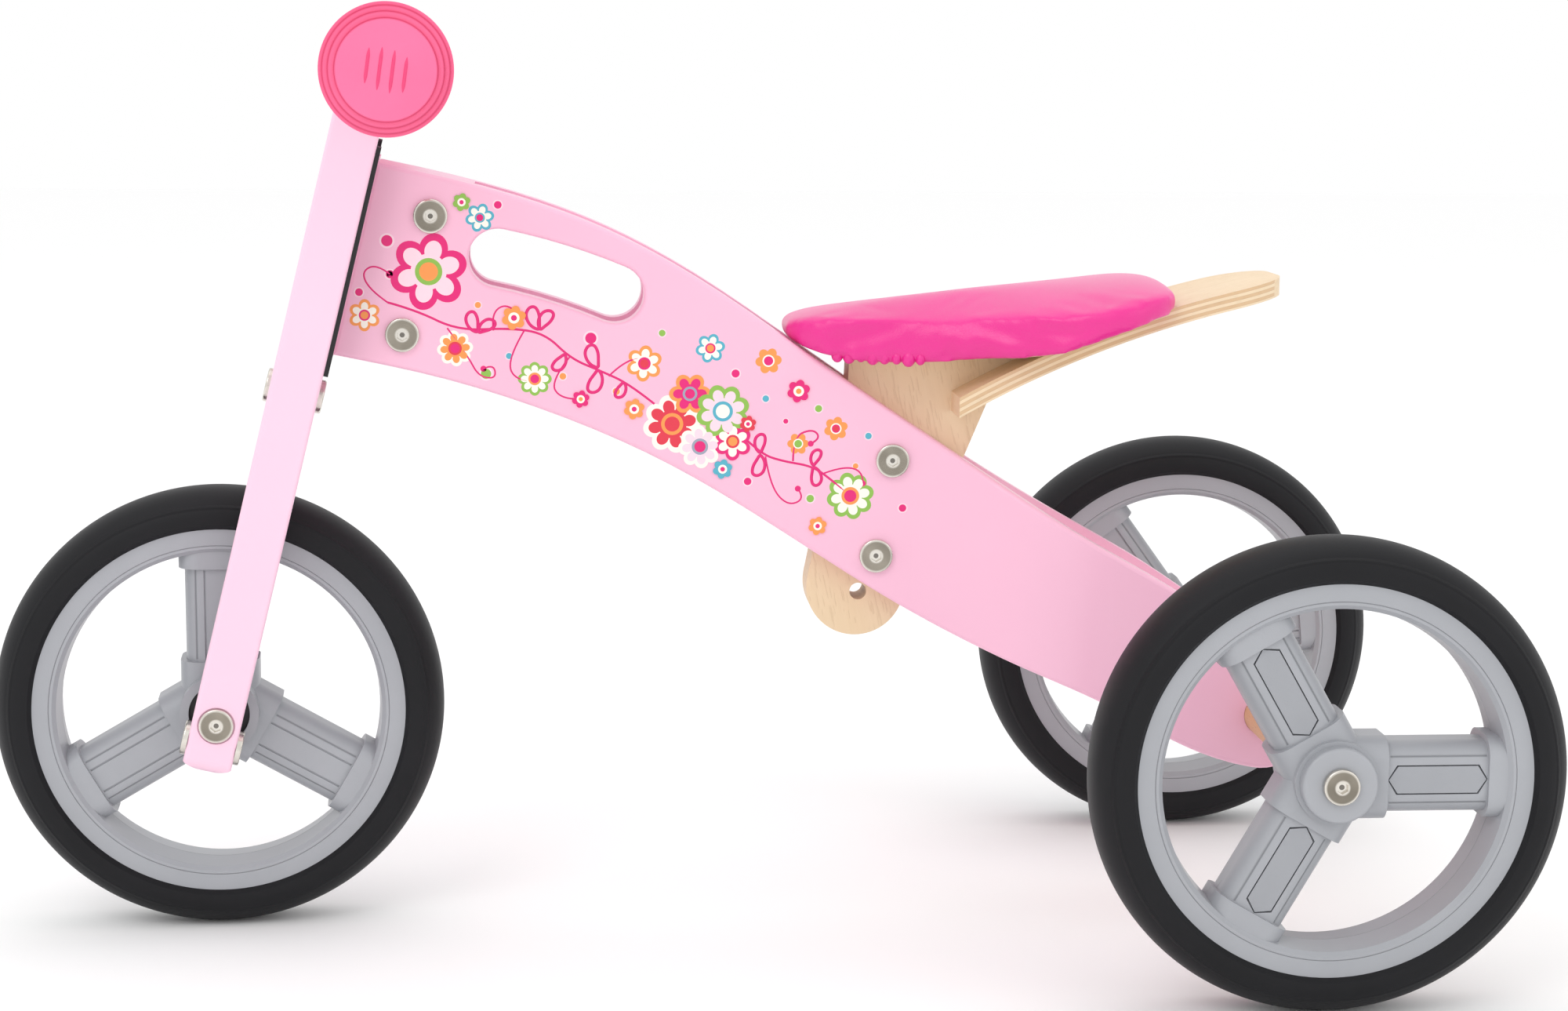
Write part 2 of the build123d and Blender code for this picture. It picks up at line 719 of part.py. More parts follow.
def bumper_strips():
    """Black rubber strips on the backs of the arms, which stop the steering softly."""
    back = fork_thickness / 2
    inner = fork_gap / 2 + strip_inset
    low = window_low - strip_overhang
    high = window_high + strip_overhang
    pieces = []
    for s in (-1, 1):
        y0, y1 = sorted((s * inner, s * (inner + strip_width)))
        pieces.append(block(back, back + strip_thickness, y0, y1, low, high))
    return pieces


def handlebar():
    """A wooden dowel through the crown."""
    return cylinder_y(bar_radius, -bar_half_length, bar_half_length, bar_back, bar_height)


def grip(side):
    """A soft grip with a stepped round bumper that closes its end."""
    first = grip_outer_end - bumper_step * (len(bumper_radii) - 1) - bumper_rim
    points = [(bar_radius, grip_inner_end), (grip_collar_radius, grip_inner_end)]
    points += [(grip_collar_radius, grip_inner_end + grip_collar_length)]
    points += [(grip_radius, grip_inner_end + grip_collar_length + 1.5), (grip_radius, first - 3), (14.0, first)]
    points.append((bumper_radii[0], first))
    y = first + bumper_rim
    for wide, narrow in zip(bumper_radii, bumper_radii[1:]):
        points += [(wide, y), (narrow, y)]
        y += bumper_step
    points.append((bumper_radii[-1], y))
    top = (0, y + bumper_dome)
    dome = TangentArc(top, points[-1], tangent=(1, 0))
    close = Polyline(top, (0, bar_half_length), (bar_radius, bar_half_length), points[0])
    shape = revolve(make_face(Polyline(*points) + dome + close), Axis.Y)
    shape = Pos(bar_back, 0, bar_height) * shape
    return shape if side > 0 else mirror(shape, Plane.XZ)


# ---- build every piece ----------------------------------------------------------------
os.makedirs("parts", exist_ok=True)

save(side_plate(-1), "side_plate_left")
save(side_plate(1), "side_plate_right")
save(head_block(), "head_block")
save(group(frame_bolts()), "frame_bolts")
save(group(frame_nuts()), "frame_cap_nuts")

tail = tail_strip()
saddle = saddle_envelope()
board = saddle_board()
base = saddle & board
cushion = saddle - board
post = seat_post(tail, saddle)
down_screws = post_screw_set()
up_screws = tail_screw_set()
for screw in down_screws + up_screws:
    base -= screw
    tail -= screw
    post -= screw
    cushion -= screw
save(tail, "tail_strip")
save(base, "saddle_base")
save(cushion, "saddle_cushion")
save(post, "seat_post")
save(group(down_screws), "post_screws")
save(group(up_screws), "tail_screws")

save(rear_dowel(), "rear_axle_dowel")
save(group(rear_sleeves()), "rear_axle_sleeves")
save(group(rear_bolts()), "rear_axle_bolts")

save(steered(fork_board()), "fork")
save(steered(crown_block()), "crown_block")
save(steered(handlebar()), "handlebar")
save(steered(grip(-1)), "grip_left")
save(steered(grip(1)), "grip_right")
save(steered(steering_pin()), "steering_pin")
save(group(steered(p) for p in steering_washers()), "steering_washers")
save(group(steered(p) for p in bumper_strips()), "bumper_strips")
save(group(steered(p) for p in cross_bolts()), "fork_cross_bolts")
save(group(steered(p) for p in cross_nuts()), "fork_cross_nuts")
save(steered(front_axle_sleeve()), "front_axle_sleeve")
save(group(steered(p) for p in front_axle_bolts()), "front_axle_bolts")
save(group(steered(p) for p in front_spacers()), "front_spacers")

save_wheel("front_wheel", 1, front_spoke_angle + lean, steered)
save_wheel("rear_wheel_left", -1, left_spoke_angle, lambda s: Pos(rear_x, -track / 2, wheel_radius) * s)
save_wheel("rear_wheel_right", 1, right_spoke_angle, lambda s: Pos(rear_x, track / 2, wheel_radius) * s)
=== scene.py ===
import math

import bmesh
import bpy
from mathutils import Matrix, Vector


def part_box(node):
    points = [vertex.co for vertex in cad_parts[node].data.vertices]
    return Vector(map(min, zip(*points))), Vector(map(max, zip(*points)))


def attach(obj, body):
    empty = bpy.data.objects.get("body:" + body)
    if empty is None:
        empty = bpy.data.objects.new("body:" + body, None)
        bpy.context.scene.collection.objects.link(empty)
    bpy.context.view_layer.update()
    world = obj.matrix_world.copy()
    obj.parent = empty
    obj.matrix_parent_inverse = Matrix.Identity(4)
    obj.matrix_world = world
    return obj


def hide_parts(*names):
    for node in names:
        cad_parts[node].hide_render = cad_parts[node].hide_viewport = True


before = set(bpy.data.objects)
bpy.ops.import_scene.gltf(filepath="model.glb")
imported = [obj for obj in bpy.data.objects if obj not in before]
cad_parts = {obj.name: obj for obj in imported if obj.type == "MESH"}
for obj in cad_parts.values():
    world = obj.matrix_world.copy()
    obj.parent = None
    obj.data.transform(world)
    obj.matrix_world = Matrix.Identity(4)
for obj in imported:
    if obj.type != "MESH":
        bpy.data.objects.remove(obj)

scene = bpy.context.scene
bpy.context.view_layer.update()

# ---- tyres ----------------------------------------------------------------------------
# Solid closed-cell foam rings in black, moulded with a smooth tread and a soft edge where the
# tread turns into the side wall, and stretched on to the rims.


class Link:
    """A socket of a finish's nodes that can be used in sums."""

    def __init__(self, finish, socket):
        self.finish = finish
        self.socket = socket

    def sum(self, operation, first, second=0.0):
        return self.finish.node("ShaderNodeMath", {"operation": operation}, {0: first, 1: second})

    def __add__(self, other):
        return self.sum("ADD", self, other)

    def __sub__(self, other):
        return self.sum("SUBTRACT", self, other)

    def __mul__(self, other):
        return self.sum("MULTIPLY", self, other)

    def __truediv__(self, other):
        return self.sum("DIVIDE", self, other)

    def __radd__(self, other):
        return self.sum("ADD", other, self)

    def __rsub__(self, other):
        return self.sum("SUBTRACT", other, self)

    def __rmul__(self, other):
        return self.sum("MULTIPLY", other, self)

    def __abs__(self):
        return self.sum("ABSOLUTE", self)

    def over(self, value):
        return self.sum("GREATER_THAN", self, value)

    def within(self, centre, reach):
        """1 at the centre, falling to 0 at reach on each side."""
        return self.finish.node("ShaderNodeMath", {"operation": "SUBTRACT", "use_clamp": True},
                                {0: 1.0, 1: abs(self - centre) / reach})


class Finish:
    """A material with one Principled shader, and the nodes that vary it over the surface."""

    def __init__(self, name, colour, roughness, metallic=0.0, coat=0.0, coat_roughness=0.1,
                 specular=0.5):
        self.material = bpy.data.materials.new(name)
        self.material.use_nodes = True
        self.tree = self.material.node_tree
        self.shader = next(n for n in self.tree.nodes if n.type == "BSDF_PRINCIPLED")
        self.material.diffuse_color = (*colour, 1)
        values = {"Base Color": (*colour, 1), "Roughness": roughness, "Metallic": metallic,
                  "Coat Weight": coat, "Coat Roughness": coat_roughness, "Specular IOR Level": specular}
        for key, value in values.items():
            self.shader.inputs[key].default_value = value

    def node(self, kind, settings=None, inputs=None, output=0):
        made = self.tree.nodes.new(kind)
        for key, value in (settings or {}).items():
            setattr(made, key, value)
        for key, value in (inputs or {}).items():
            if isinstance(value, Link):
                self.tree.links.new(value.socket, made.inputs[key])
            else:
                made.inputs[key].default_value = value
        return Link(self, made.outputs[output])

    def place(self, location=(0, 0, 0), rotation=(0, 0, 0), scale=(1, 1, 1)):
        """The surface's own coordinates, seen from a place on the object."""
        here = self.node("ShaderNodeTexCoord", output="Object")
        return self.node("ShaderNodeMapping", {"vector_type": "TEXTURE"},
                         {"Vector": here, "Location": location, "Rotation": rotation, "Scale": scale})

    def axis(self, where, name):
        return self.node("ShaderNodeSeparateXYZ", None, {"Vector": where}, name)

    def noise(self, where, scale, detail=2.0, roughness=0.5):
        return self.node("ShaderNodeTexNoise", None,
                         {"Vector": where, "Scale": scale, "Detail": detail, "Roughness": roughness})

    def mix(self, amount, first, second):
        """One colour turning into another."""
        made = self.tree.nodes.new("ShaderNodeMix")
        made.data_type = "RGBA"
        for socket, value in ((made.inputs[0], amount), (made.inputs[6], first), (made.inputs[7], second)):
            if isinstance(value, Link):
                self.tree.links.new(value.socket, socket)
            else:
                socket.default_value = value if isinstance(value, float) else (*value[:3], 1)
        return Link(self, made.outputs[2])

    def give(self, key, link):
        self.tree.links.new(link.socket, self.shader.inputs[key])

    def bump(self, height, depth):
        """Relief of a depth in metres, from a height between 0 and 1."""
        made = self.node("ShaderNodeBump", None, {"Height": height, "Distance": depth, "Strength": 1.0})
        self.give("Normal", made)


def tone(red, green, blue):
    """A paint maker's 0 to 255 colour as the light it gives back."""
    return tuple(((c / 255 + 0.055) / 1.055) ** 2.4 if c > 10 else c / 3294 for c in (red, green, blue))


def put_on(finish, *names):
    """Give CAD pieces a finish."""
    for name in names:
        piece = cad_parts[name]
        piece.data.materials.clear()
        piece.data.materials.append(finish.material)


def distance(first, second):
    """Distance from a line, given the two coordinates across it."""
    square = first * first + second * second
    return square.sum("SQRT", square)


lean_degrees = 13.8             # the steering pin leans back by this much
lean = math.radians(lean_degrees)
turned = math.radians(2.5)      # the fork rests turned a little to the left
half_base = 0.208
half_track = 0.14
axle_height = 0.0889
steered = Matrix.Rotation(lean, 4, "Y") @ Matrix.Rotation(turned, 4, "Z")
axles = {
    "front_wheel": ((-half_base, 0, axle_height), steered),
    "rear_wheel_left": ((half_base, -half_track, axle_height), Matrix.Identity(4)),
    "rear_wheel_right": ((half_base, half_track, axle_height), Matrix.Identity(4)),
}


def wheel_lines(finish, wheel):
    """A wheel's own coordinates, and the distance from its axle."""
    middle, direction = axles[wheel]
    where = finish.place(middle, tuple(direction.to_euler("XYZ")))
    radius = distance(finish.axis(where, "X"), finish.axis(where, "Z"))
    return where, radius


tread_edge = 0.0822             # radius where the tread turns into the side wall
for wheel in axles:
    foam = Finish(f"{wheel}_foam", tone(27, 27, 29), 0.5, specular=0.2)
    where, radius = wheel_lines(foam, wheel)
    pores = foam.noise(where, 2600.0, 3.0)
    patches = foam.noise(where, 35.0, 3.0)
    foam.give("Base Color", foam.mix(patches, tone(21, 21, 23), tone(31, 31, 34)))
    foam.give("Roughness", 0.42 + 0.16 * patches)
    edge = radius.within(tread_edge, 0.0009)
    foam.bump(0.12 * pores + edge, 0.0005)
    put_on(foam, f"{wheel}_tyre")

# ---- wheels ---------------------------------------------------------------------------
# Rim, three spokes and hub are one moulding in silver-grey plastic, with a fine spark-eroded
# skin, a parting line round the rim and slim inserts snapped into the spokes.
# The fine flutes along the spokes are painted dark grey as shade in their grooves.
spoke_angles = {"front_wheel": 90 + lean_degrees, "rear_wheel_left": 0.0, "rear_wheel_right": 6.0}
flute = 0.0087                  # the flutes run this far from a spoke's middle line
flute_start = 0.0205            # radius where they leave the hub
flute_end = 0.0565              # radius where they reach the rim's sockets
rim_lip = 0.0668


def flutes_and_shade(finish, where, first):
    """Two fine grooves along each of the three spokes, from the hub to the rim's sockets, as a mask for
    their relief and for their painted shade.
    """
    x = finish.axis(where, "X")
    z = finish.axis(where, "Z")
    total = 0.0
    for k in range(3):
        a = math.radians(first + 120 * k)
        along = x * math.cos(a) + z * math.sin(a)
        side = z * math.cos(a) - x * math.sin(a)
        length = along.over(flute_start) * (1.0 - along.over(flute_end))
        total = total + abs(side).within(flute, 0.0005) * length
    return total


for wheel in axles:
    for part, colour in (("rim", (165, 167, 172)), ("spoke_panels", (158, 160, 165))):
        plastic = Finish(f"{wheel}_{part}_plastic", tone(*colour), 0.36, specular=0.5)
        where, radius = wheel_lines(plastic, wheel)
        skin = plastic.noise(where, 1800.0, 2.0)
        flow = plastic.noise(where, 24.0, 4.0, 0.6)
        light = tuple(c + 6 for c in colour)
        dark = tuple(c - 8 for c in colour)
        lines = flutes_and_shade(plastic, where, spoke_angles[wheel])
        body = plastic.mix(flow, tone(*dark), tone(*light))
        # The flutes are painted dark grey as shade in their grooves.
        plastic.give("Base Color", plastic.mix(lines * 0.55, body, tone(84, 86, 90)))
        plastic.give("Roughness", 0.3 + 0.12 * flow)
        across = plastic.axis(where, "Y")
        seam = across.within(0.0, 0.00025) * radius.over(0.055) + radius.within(rim_lip, 0.0002)
        plastic.bump(0.1 * skin + seam - lines, 0.0003)
        put_on(plastic, f"{wheel}_{part}")
    nylon = Finish(f"{wheel}_bush_nylon", tone(38, 38, 40), 0.45)
    nylon.give("Roughness", 0.38 + 0.14 * nylon.noise(nylon.place(), 900.0))
    put_on(nylon, f"{wheel}_bushes")

# ---- axles, pin and screws ------------------------------------------------------------
# Plain turned steel: the sleeves in the hubs, the steering pin and the wood screws.  Fine
# lathe lines run round them.
steel = Finish("turned_steel", tone(176, 176, 178), 0.34, metallic=1.0)
lines = steel.noise(steel.place(scale=(1, 0.02, 1)), 40.0, 2.0)
steel.give("Roughness", 0.26 + 0.18 * lines)
steel.bump(lines, 0.00003)
put_on(steel, "rear_axle_sleeves", "front_axle_sleeve", "steering_pin", "post_screws", "tail_screws")

white_nylon = Finish("white_nylon", tone(226, 226, 220), 0.4)
white_nylon.give("Roughness", 0.34 + 0.14 * white_nylon.noise(white_nylon.place(), 800.0))
put_on(white_nylon, "front_spacers", "steering_washers")

# ---- bolts ----------------------------------------------------------------------------
# Flat-headed connector bolts and cap nuts with hexagon sockets, in bright nickel that is a
# little warm and slightly hazed from tumbling.  Their turned faces are painted darker than the
# rims as a reflection; the sockets are painted lighter as a reflection and darker at the bottom
# as shade.
steering = Matrix.Translation(axles["front_wheel"][0]) @ axles["front_wheel"][1]
head_bolt_back = 0.0365         # the bolts in the head stand this far behind the pin's line
head_bolts = []
for up in (0.1639, 0.2115):
    head_bolts.append((-half_base + up * math.sin(lean) + head_bolt_back * math.cos(lean),
                       axle_height + up * math.cos(lean) - head_bolt_back * math.sin(lean)))
post_bolts = [(0.0597, 0.1892), (0.0535, 0.1509)]
turned_ring = 0.0043            # radius in the middle of a bolt's turned face, which is painted darker as a reflection
socket_reflection_radius = 0.0020
socket_shade_radius = 0.0010


def plated(name, names, centres, sideways="X", steers=False):
    """Bright nickel, with a painted dark reflection on the turned face, a painted light reflection in the
    socket and a painted shadow at its bottom, round each bolt's centre line.
    """
    nickel = Finish(name, tone(200, 194, 184), 0.2, metallic=1.0)
    where = nickel.place()
    if steers:
        where = nickel.place(axles["front_wheel"][0], tuple(axles["front_wheel"][1].to_euler("XYZ")))
    a = nickel.axis(where, sideways)
    b = nickel.axis(where, "Z")
    nearest = 1.0
    for u, v in centres:
        away = distance(a - u, b - v)
        nearest = away.sum("MINIMUM", away, nearest)
    haze = nickel.noise(nickel.place(), 260.0, 4.0)
    swirl = nickel.noise(nickel.place(), 70.0, 2.0)
    # The turned face is painted in dark tones as a reflection of the room.
    face = nickel.mix(swirl, tone(98, 92, 82), tone(176, 169, 156))
    bright = nickel.mix(haze, tone(206, 200, 190), tone(230, 226, 218))
    flat = nearest.within(turned_ring, 0.0019) * 3.0
    face_reflection_mask = flat.sum("MINIMUM", flat, 1.0)
    body = nickel.mix(face_reflection_mask, bright, face)
    # The socket is painted lighter as a reflection, and its bottom darker as painted shade.
    socket = 1.0 - nearest.over(socket_reflection_radius)
    body = nickel.mix(socket * 0.5, body, tone(222, 218, 210))
    socket_floor_shade = 1.0 - nearest.over(socket_shade_radius)
    nickel.give("Base Color", nickel.mix(socket_floor_shade * 0.8, body, tone(70, 64, 58)))
    nickel.give("Roughness", 0.14 + 0.2 * haze)
    nickel.bump(nickel.noise(nickel.place(), 3000.0, 2.0), 0.00002)
    put_on(nickel, *names)


plated("frame_nickel", ("frame_bolts", "frame_cap_nuts"), head_bolts + post_bolts)
plated("rear_axle_nickel", ("rear_axle_bolts",), [(half_base, axle_height)])
plated("front_axle_nickel", ("front_axle_bolts",), [(0, 0)], steers=True)
plated("cross_nickel", ("fork_cross_bolts", "fork_cross_nuts"),
       [(-0.033, -0.0085), (0.033, -0.0085), (0, 0.13)], "Y", steers=True)

# ---- wooden dowels --------------------------------------------------------------------
# The rear axle and the handlebar are beech dowels under a thin matt lacquer.  The grain runs
# along the dowel, with the short dark flecks that beech has.


def beech(name, lie):
    """Beech whose grain runs along Y, turned to lie with a piece."""
    wood = Finish(name, tone(222, 184, 140), 0.45, coat=0.12, coat_roughness=0.35)
    grain = wood.noise(wood.place(rotation=lie, scale=(1, 14, 1)), 420.0, 5.0, 0.6)
    bands = wood.noise(wood.place(rotation=lie, scale=(1, 9, 1)), 90.0, 3.0)
    flecks = wood.noise(wood.place(rotation=lie, scale=(0.5, 2.2, 0.5)), 700.0, 1.0).over(0.66)
    body = wood.mix(bands, tone(230, 194, 150), tone(206, 160, 112))
    body = wood.mix(grain * 0.5, body, tone(186, 138, 94))
    wood.give("Base Color", wood.mix(flecks * 0.35, body, tone(150, 104, 66)))
    wood.give("Roughness", 0.38 + 0.2 * grain)
    wood.bump(grain, 0.00008)
    return wood


put_on(beech("axle_beech", (0, 0, 0)), "rear_axle_dowel")
put_on(beech("bar_beech", tuple(axles["front_wheel"][1].to_euler("XYZ"))), "handlebar")

# ---- frame plates ---------------------------------------------------------------------
# Two bent birch-ply plates and the block between them, sprayed light pink.  The satin paint
# has a soft orange-peel skin and the wood below still shows very faintly along the grain.


def sprayed(name, colour, shade, lie):
    """Satin paint on wood; the grain lies along X."""
    paint = Finish(name, tone(*colour), 0.36, coat=0.25, coat_roughness=0.28)
    peel = paint.noise(paint.place(), 650.0, 2.0)
    cloud = paint.noise(paint.place(), 22.0, 3.0)
    grain = paint.noise(paint.place(rotation=lie, scale=(16, 1, 1)), 240.0, 4.0)
    paint.give("Base Color", paint.mix(cloud, tone(*colour), tone(*shade)))
    paint.give("Roughness", 0.3 + 0.1 * peel + 0.05 * cloud)
    paint.bump(0.35 * peel + 0.5 * grain, 0.00009)
    return paint


pink = sprayed("frame_pink", (248, 192, 216), (246, 187, 212), (0, math.radians(28), 0))
put_on(pink, "side_plate_left", "side_plate_right", "head_block")

# ---- printed flowers ------------------------------------------------------------------
# A screen-printed spray of flowers, leaves and dots on the outside of both plates: a vine in
# magenta ink, then the petals, rings and centres laid over each other in flat colours.
plate_face = 0.020
inks = {
    "magenta": (226, 0, 114), "orange": (246, 150, 72), "green": (138, 186, 72), "teal": (78, 172, 194),
    "cream": (252, 244, 232), "red": (222, 42, 66), "grey": (150, 160, 178), "rose": (250, 214, 226),
}
ink_height = 0.000012           # each ink stands this much above the one below


def ink(name):
    """One printing ink, a little glossier than the paint."""
    made = Finish(f"ink_{name}", tone(*inks[name]), 0.3, coat=0.2)
    spread = made.noise(made.place(), 500.0, 3.0)
    light = tuple(min(255, c + 5) for c in inks[name])
    made.give("Base Color", made.mix(spread, tone(*inks[name]), tone(*light)))
    made.give("Roughness", 0.26 + 0.1 * spread)
    return made


layers = {name: bmesh.new() for name in inks}


def dot(colour, x, z, radius, level, stretch=1.0, turn=0.0):
    """A flat round or oval of ink, in millimetres on the plate."""
    height = ink_height * (level + 1)
    turn_it = Matrix.Rotation(-turn, 4, "Y")
    shape = Matrix.Diagonal((stretch, 1, 1, 1))
    lay = Matrix.Rotation(math.radians(90), 4, "X")
    place = Matrix.Translation((x / 1000, -plate_face - height / 2, z / 1000)) @ turn_it @ shape @ lay
    bmesh.ops.create_cone(layers[colour], cap_ends=True, segments=28, radius1=radius / 1000,
                          radius2=radius / 1000, depth=height, matrix=place)


def flower(x, z, size, petals, colours, turn, under=0):
    """Round petals in a ring, an inner ring, and a centre with a rim, over some flowers below."""
    petal, inner, rim, heart = colours
    reach = size * 0.64
    width = size * (0.40 if petals < 7 else 0.33)
    for k in range(petals):
        a = turn + 2 * math.pi * k / petals
        lift = 7 * under + 0.1 * k
        dot(petal, x + reach * math.cos(a), z + reach * math.sin(a), width, lift, 1.12, a)
        if size > 5:
            dot(inner, x + 0.92 * reach * math.cos(a), z + 0.92 * reach * math.sin(a), 0.6 * width,
                lift + 2, 1.2, a)
    for layer, (colour, part) in enumerate(((petal, 0.62), (inner, 0.5), (rim, 0.38), (heart, 0.26))):
        dot(colour, x, z, size * part, 7 * under + (1, 3, 4, 5)[layer])


big = (
    (-123, 264, 14.0, 6, ("magenta", "rose", "green", "orange"), 0.3),
    (-113, 234, 7.0, 8, ("cream", "orange", "red", "magenta"), 0.1),
    (-148, 247, 5.8, 6, ("orange", "cream", "magenta", "orange"), 0.5),
    (-103, 285, 5.2, 6, ("teal", "cream", "teal", "magenta"), 0.2),
    (-82, 222, 6.6, 8, ("green", "cream", "orange", "magenta"), 0.0),
    (-39, 228, 6.6, 6, ("orange", "cream", "magenta", "red"), 0.4),
    (-28, 204, 11.5, 8, ("cream", "red", "orange", "red"), 0.2),
    (-21, 216, 7.6, 6, ("orange", "magenta", "grey", "magenta"), 0.0),
    (-8, 209, 10.6, 8, ("green", "rose", "teal", "cream"), 0.3),
    (-17, 195, 8.6, 8, ("cream", "rose", "grey", "magenta"), 0.1),
    (-4, 197, 7.0, 6, ("magenta", "cream", "red", "orange"), 0.5),
    (43, 175, 9.4, 8, ("green", "cream", "orange", "magenta"), 0.2),
    (10, 229, 4.8, 6, ("orange", "cream", "magenta", "magenta"), 0.1),
    (37, 202, 4.4, 6, ("orange", "cream", "magenta", "red"), 0.3),
    (22, 196, 4.0, 6, ("orange", "cream", "green", "green"), 0.0),
    (-13, 234, 5.4, 6, ("teal", "cream", "magenta", "orange"), 0.2),
)
small = (
    (-90, 246, 4.4, "orange"), (-43, 210, 3.8, "orange"), (-8, 186, 3.6, "teal"),
    (2, 204, 3.0, "red"), (-110, 291, 3.2, "green"), (22, 217, 4.2, "magenta"),
    (-64, 214, 3.2, "magenta"), (30, 163, 3.4, "orange"),
)
dots = (
    (-139, 276, 2.2, "magenta"), (-60, 238, 2.2, "magenta"), (-92, 231, 1.2, "teal"),
    (27, 174, 1.5, "green"), (-101, 224, 2.0, "green"), (-138, 263, 1.6, "magenta"),
    (-3, 224, 1.6, "magenta"), (9, 214, 1.3, "teal"), (-50, 217, 1.4, "orange"),
    (30, 210, 1.4, "green"), (-104, 251, 1.2, "orange"), (-71, 223, 1.3, "orange"),
    (2, 181, 1.5, "magenta"), (50, 199, 1.3, "teal"), (64, 170, 1.5, "magenta"),
    (-150, 256, 1.5, "magenta"), (17, 205, 1.0, "magenta"), (-32, 240, 1.3, "green"),
    (-96, 290, 1.5, "magenta"), (45, 187, 1.1, "orange"),
)
for i, (x, z, size, petals, colours, turn) in enumerate(big):
    under = sum(math.hypot(x - other[0], z - other[1]) < size + other[2] for other in big[:i])
    flower(x, z, size, petals, colours, turn, under)
for x, z, size, colour in small:
    heart = "orange" if colour == "magenta" else "magenta"
    flower(x, z, size, 6, (colour, "cream", "cream", heart), 0.3, 6)
for x, z, size, colour in dots:
    dot("rose", x, z, size * 1.35, 0)
    dot(colour, x, z, size, 1)

# The vine, its side shoots that curl to a dot, and pairs of open leaves.
vine = (
    (-139, 252), (-128, 249), (-112, 241), (-92, 242), (-78, 240), (-68, 230), (-56, 225), (-45, 220),
    (-35, 212),
)
tail_vine = ((-1, 200), (7, 192), (16, 189), (28, 187), (36, 181), (43, 175))
shoots = (
    ((-116, 242), (-108, 231), (-104, 223), (-97, 222), (-98, 228), (-102, 226)),
    ((-98, 241), (-99, 248), (-92, 252), (-88, 247)),
    ((-86, 241), (-92, 231), (-91, 222), (-84, 221)),
    ((-68, 231), (-76, 221), (-72, 214), (-65, 214)),
    ((-53, 223), (-45, 231), (-39, 230)),
    ((9, 191), (11, 179), (18, 171), (25, 174), (22, 178)),
    ((20, 189), (20, 199), (28, 202), (31, 198), (27, 196)),
    ((32, 184), (40, 187), (48, 185), (48, 180)),
    ((-139, 252), (-146, 257), (-149, 264), (-143, 267), (-138, 263)),
)
leaves = (
    (-104, 240, 1.9, 9), (-104, 240, 0.6, 8), (-80, 241, 1.9, 10), (-80, 241, 1.0, 9), (-57, 226, 1.9, 10),
    (-57, 226, -1.9, 10), (-70, 232, -2.2, 8), (7, 192, 1.5, 8), (7, 192, -1.8, 9), (28, 187, 1.2, 7),
    (28, 187, -1.4, 8), (-47, 221, -2.0, 7),
)


def stroke(points, width, closed=False):
    """A drawn line of ink through points on the plate, as a flattened round bead."""
    line = bpy.data.curves.new("stroke", "CURVE")
    line.dimensions = "3D"
    line.bevel_depth = width / 2000
    line.bevel_resolution = 1
    line.resolution_u = 6
    spline = line.splines.new("NURBS")
    spline.points.add(len(points) - 1)
    for point, (x, z) in zip(spline.points, points):
        point.co = (x / 1000, 0, z / 1000, 1)
    spline.order_u = 3
    spline.use_endpoint_u = not closed
    spline.use_cyclic_u = closed
    line.use_fill_caps = not closed
    drawn = bpy.data.objects.new("stroke", line)
    scene.collection.objects.link(drawn)
    mesh = bpy.data.meshes.new_from_object(drawn.evaluated_get(bpy.context.evaluated_depsgraph_get()))
    bpy.data.objects.remove(drawn)
    mesh.transform(Matrix.Translation((0, -plate_face, 0)) @ Matrix.Diagonal((1, 0.12, 1, 1)))
    layers["magenta"].from_mesh(mesh)
    bpy.data.meshes.remove(mesh)


def leaf(x, z, angle, length):
    """An open drop-shaped loop."""
    outline = ((0, 0), (0.3, 0.3), (0.75, 0.34), (1.0, 0.1), (0.95, -0.16), (0.6, -0.2), (0.25, -0.08))
    cos_a, sin_a = math.cos(angle), math.sin(angle)
    points = []
    for along, side in outline:
        points.append((x + length * (along * cos_a - side * sin_a),
                       z + length * (along * sin_a + side * cos_a)))
    stroke(points, 1.4, closed=True)


stroke(vine, 1.0)
stroke(tail_vine, 1.0)
for shoot in shoots:
    stroke(shoot, 0.75)
    x, z = shoot[-1]
    dot("magenta", x, z, 1.2, 1)
for x, z, angle, length in leaves:
    leaf(x, z, angle, length)


def piece_of(name, shape, finish, body):
    """Make a bmesh into a finished piece that rides on a body."""
    mesh = bpy.data.meshes.new(name)
    shape.to_mesh(mesh)
    shape.free()
    made = bpy.data.objects.new(name, mesh)
    scene.collection.objects.link(made)
    mesh.materials.append(finish.material)
    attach(made, body)
    return made


for name, layer in layers.items():
    finish = ink(name)
    bmesh.ops.recalc_face_normals(layer, faces=layer.faces)
    other = layer.copy()
    bmesh.ops.transform(other, matrix=Matrix.Diagonal((1, -1, 1, 1)), verts=other.verts)
    bmesh.ops.reverse_faces(other, faces=other.faces)
    piece_of(f"print_{name}_left", layer, finish, "frame")
    piece_of(f"print_{name}_right", other, finish, "frame")

# ---- seat post and tail ---------------------------------------------------------------
# Birch plywood under clear matt lacquer.  The post is a flat board whose face grain stands
# nearly upright; the tail is bent in a press, so its plies follow the curve along its edges.
ply_thickness = 0.00125


